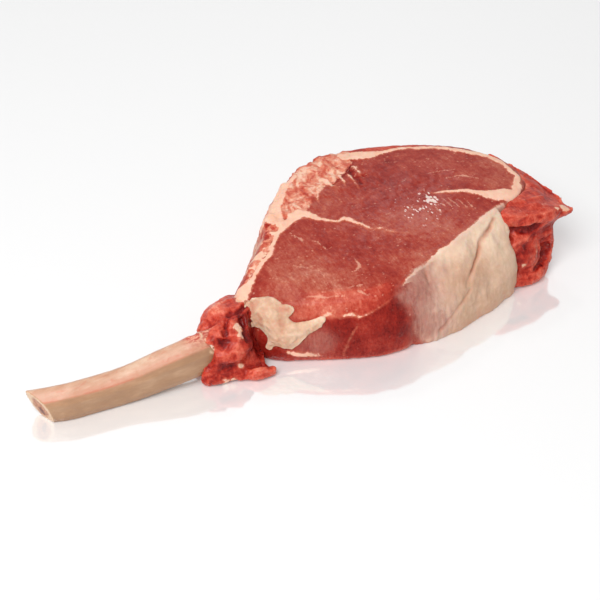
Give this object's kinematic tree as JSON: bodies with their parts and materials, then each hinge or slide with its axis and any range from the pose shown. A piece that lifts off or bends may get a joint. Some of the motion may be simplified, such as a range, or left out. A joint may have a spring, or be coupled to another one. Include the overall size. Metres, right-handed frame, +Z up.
{
  "type": "raw veal tomahawk chop",
  "caption": "Raw veal rib chop lying flat, with a long scraped rib bone, a fat cap on its side, a sawn chine corner and ragged trimmings at both ends.",
  "frame": {"origin": "middle of the foot of the chop's box, on the surface that it lies on", "axes": "+X from the tip of the rib bone to the far end of the meat, +Y towards the chest side, +Z up from the cut underside to the cut face"},
  "size_m": [0.2718, 0.1164, 0.0384],
  "materials": {
    "rib_bone": "scraped moist bone, tan with a pink upper side",
    "veal": "wet raw veal, pinkish red, fine grained, with cream fat seams",
    "spongy_bone": "sawn spongy bone, salmon red mottled with cream",
    "fat": "firm cream fat, slightly waxy",
    "trimmings": "torn raw muscle, orange red, glossy and wet"
  },
  "bodies": {
    "root": {"rib_bone": "rib_bone", "loin_meat": "veal", "chine_bone": "spongy_bone", "side_fat": "fat", "fat_lobe": "fat", "neck_meat": "trimmings", "end_meat": "trimmings"}
  },
  "joints": []
}
